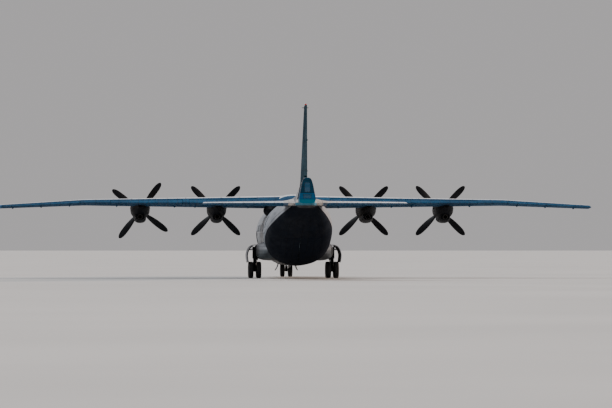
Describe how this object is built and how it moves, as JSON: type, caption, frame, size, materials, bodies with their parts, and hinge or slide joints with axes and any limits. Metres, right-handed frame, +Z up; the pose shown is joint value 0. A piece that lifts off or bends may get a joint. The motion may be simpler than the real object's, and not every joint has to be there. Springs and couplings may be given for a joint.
{
  "type": "military transport plane",
  "caption": "Four-propeller military transport aircraft with a high wing, glazed nose, upswept tail, underside cargo hatch, side wheel fairings and landing gear, parked.",
  "frame": {"origin": "on the ground, midway along the length and across the span", "axes": "+X starboard, +Y towards the nose, +Z up"},
  "size_m": [38, 33.1, 10.53],
  "materials": {
    "body_skin": "satin",
    "wing_skin": "satin",
    "glazing": "gloss",
    "beacon_glass": "gloss",
    "radome": "matte",
    "cabin_steel": "matte",
    "engine_pod": "satin",
    "blade_metal": "satin",
    "gear_steel": "satin",
    "tyre": "matte"
  },
  "bodies": {
    "airframe": {"nose_frame": "body_skin", "cockpit_shell": "body_skin", "forward_shell": "body_skin", "centre_shell": "body_skin", "rear_shell": "body_skin", "tail_cabin": "body_skin", "sponson_right": "body_skin", "sponson_left": "body_skin", "gear_door_right": "body_skin", "gear_door_left": "body_skin", "nose_door_right": "body_skin", "nose_door_left": "body_skin", "wing_centre": "wing_skin", "wing_hump": "wing_skin", "wing_middle_right": "wing_skin", "wing_middle_left": "wing_skin", "wing_outer_right": "wing_skin", "wing_outer_left": "wing_skin", "tailplane_right": "wing_skin", "tailplane_left": "wing_skin", "fin": "wing_skin", "nose_glass": "glazing", "cockpit_glass": "glazing", "tail_glass": "glazing", "beacon": "beacon_glass", "chin_radome": "radome", "hold_floor": "cabin_steel", "cockpit_deck": "cabin_steel", "navigator_deck": "cabin_steel", "nacelle_outer_left": "engine_pod", "nacelle_inner_left": "engine_pod", "nacelle_inner_right": "engine_pod", "nacelle_outer_right": "engine_pod", "main_leg_right": "gear_steel", "main_leg_left": "gear_steel", "nose_bay": "gear_steel", "nose_leg": "gear_steel"},
    "propeller_outer_left": {"propeller_outer_left": "blade_metal"},
    "propeller_inner_left": {"propeller_inner_left": "blade_metal"},
    "propeller_inner_right": {"propeller_inner_right": "blade_metal"},
    "propeller_outer_right": {"propeller_outer_right": "blade_metal"},
    "main_wheels_front_right": {"main_wheels_front_right": "tyre"},
    "main_wheels_front_left": {"main_wheels_front_left": "tyre"},
    "main_wheels_rear_right": {"main_wheels_rear_right": "tyre"},
    "main_wheels_rear_left": {"main_wheels_rear_left": "tyre"},
    "nose_fork": {"nose_fork": "gear_steel"},
    "nose_wheels": {"nose_wheels": "tyre"},
    "crew_door": {"crew_door": "body_skin"},
    "cargo_leaf_right": {"cargo_leaf_right": "body_skin"},
    "cargo_leaf_left": {"cargo_leaf_left": "body_skin"},
    "cargo_rear_door": {"cargo_rear_door": "body_skin"},
    "flap_inner_right": {"flap_inner_right": "wing_skin"},
    "flap_outer_right": {"flap_outer_right": "wing_skin"},
    "aileron_right": {"aileron_right": "wing_skin"},
    "elevator_right": {"elevator_right": "wing_skin"},
    "flap_inner_left": {"flap_inner_left": "wing_skin"},
    "flap_outer_left": {"flap_outer_left": "wing_skin"},
    "aileron_left": {"aileron_left": "wing_skin"},
    "elevator_left": {"elevator_left": "wing_skin"},
    "rudder": {"rudder": "wing_skin"}
  },
  "joints": [
    {"name": "propeller_outer_left_spin", "type": "hinge", "parent": "airframe", "child": "propeller_outer_left", "pos_m": [-9.8, 6.15, 4.36], "axis": [0, 1, 0], "continuous": true},
    {"name": "propeller_inner_left_spin", "type": "hinge", "parent": "airframe", "child": "propeller_inner_left", "pos_m": [-4.85, 7.25, 4.36], "axis": [0, 1, 0], "continuous": true},
    {"name": "propeller_inner_right_spin", "type": "hinge", "parent": "airframe", "child": "propeller_inner_right", "pos_m": [4.85, 7.25, 4.36], "axis": [0, 1, 0], "continuous": true},
    {"name": "propeller_outer_right_spin", "type": "hinge", "parent": "airframe", "child": "propeller_outer_right", "pos_m": [9.8, 6.15, 4.36], "axis": [0, 1, 0], "continuous": true},
    {"name": "main_wheels_front_right_roll", "type": "hinge", "parent": "airframe", "child": "main_wheels_front_right", "pos_m": [2.48, 2.565, 0.525], "axis": [1, 0, 0], "continuous": true},
    {"name": "main_wheels_front_left_roll", "type": "hinge", "parent": "airframe", "child": "main_wheels_front_left", "pos_m": [-2.48, 2.565, 0.525], "axis": [1, 0, 0], "continuous": true},
    {"name": "main_wheels_rear_right_roll", "type": "hinge", "parent": "airframe", "child": "main_wheels_rear_right", "pos_m": [2.48, 1.335, 0.525], "axis": [1, 0, 0], "continuous": true},
    {"name": "main_wheels_rear_left_roll", "type": "hinge", "parent": "airframe", "child": "main_wheels_rear_left", "pos_m": [-2.48, 1.335, 0.525], "axis": [1, 0, 0], "continuous": true},
    {"name": "nose_steering", "type": "hinge", "parent": "airframe", "child": "nose_fork", "pos_m": [0, 12.45, 0.9], "axis": [0, 0, 1], "range_deg": [-35, 35]},
    {"name": "nose_wheels_roll", "type": "hinge", "parent": "nose_fork", "child": "nose_wheels", "pos_m": [0, 12.45, 0.45], "axis": [1, 0, 0], "continuous": true},
    {"name": "crew_door_hinge", "type": "hinge", "parent": "airframe", "child": "crew_door", "pos_m": [-1.8829, 10.22, 2.9797], "axis": [0, -1, 0], "range_deg": [0, 80]},
    {"name": "cargo_leaf_right_hinge", "type": "hinge", "parent": "airframe", "child": "cargo_leaf_right", "pos_m": [1.2497, -4.2234, 1.4353], "axis": [0, 0.961, -0.2765], "range_deg": [0, 100]},
    {"name": "cargo_leaf_left_hinge", "type": "hinge", "parent": "airframe", "child": "cargo_leaf_left", "pos_m": [-1.2497, -4.2234, 1.4353], "axis": [0, -0.961, 0.2765], "range_deg": [0, 100]},
    {"name": "cargo_rear_door_hinge", "type": "hinge", "parent": "airframe", "child": "cargo_rear_door", "pos_m": [0, -11.4005, 3.51], "axis": [1, 0, 0], "range_deg": [0, 30]},
    {"name": "flap_inner_right_hinge", "type": "hinge", "parent": "airframe", "child": "flap_inner_right", "pos_m": [4.525, 1.34168, 4.41133], "axis": [0.999, -0.0448, -0.0016], "range_deg": [0, 38]},
    {"name": "flap_outer_right_hinge", "type": "hinge", "parent": "airframe", "child": "flap_outer_right", "pos_m": [9.4, 1.12328, 4.40374], "axis": [0.999, -0.0448, -0.0015], "range_deg": [0, 38]},
    {"name": "aileron_right_hinge", "type": "hinge", "parent": "airframe", "child": "aileron_right", "pos_m": [16.05, 0.82536, 4.68338], "axis": [0.9977, -0.0447, -0.0507], "range_deg": [-25, 15]},
    {"name": "elevator_right_hinge", "type": "hinge", "parent": "airframe", "child": "elevator_right", "pos_m": [3.6, -13.80338, 4.585], "axis": [0.9993, -0.037, 0], "range_deg": [-28, 15]},
    {"name": "flap_inner_left_hinge", "type": "hinge", "parent": "airframe", "child": "flap_inner_left", "pos_m": [-4.525, 1.34168, 4.41133], "axis": [0.999, 0.0448, 0.0016], "range_deg": [0, 38]},
    {"name": "flap_outer_left_hinge", "type": "hinge", "parent": "airframe", "child": "flap_outer_left", "pos_m": [-9.4, 1.12328, 4.40374], "axis": [0.999, 0.0448, 0.0015], "range_deg": [0, 38]},
    {"name": "aileron_left_hinge", "type": "hinge", "parent": "airframe", "child": "aileron_left", "pos_m": [-16.05, 0.82536, 4.68338], "axis": [0.9977, 0.0447, 0.0507], "range_deg": [-25, 15]},
    {"name": "elevator_left_hinge", "type": "hinge", "parent": "airframe", "child": "elevator_left", "pos_m": [-3.6, -13.80338, 4.585], "axis": [0.9993, 0.037, 0], "range_deg": [-28, 15]},
    {"name": "rudder_hinge", "type": "hinge", "parent": "airframe", "child": "rudder", "pos_m": [0, -14.6, 8.27], "axis": [0, -0.0966, 0.9953], "range_deg": [-25, 25]}
  ]
}
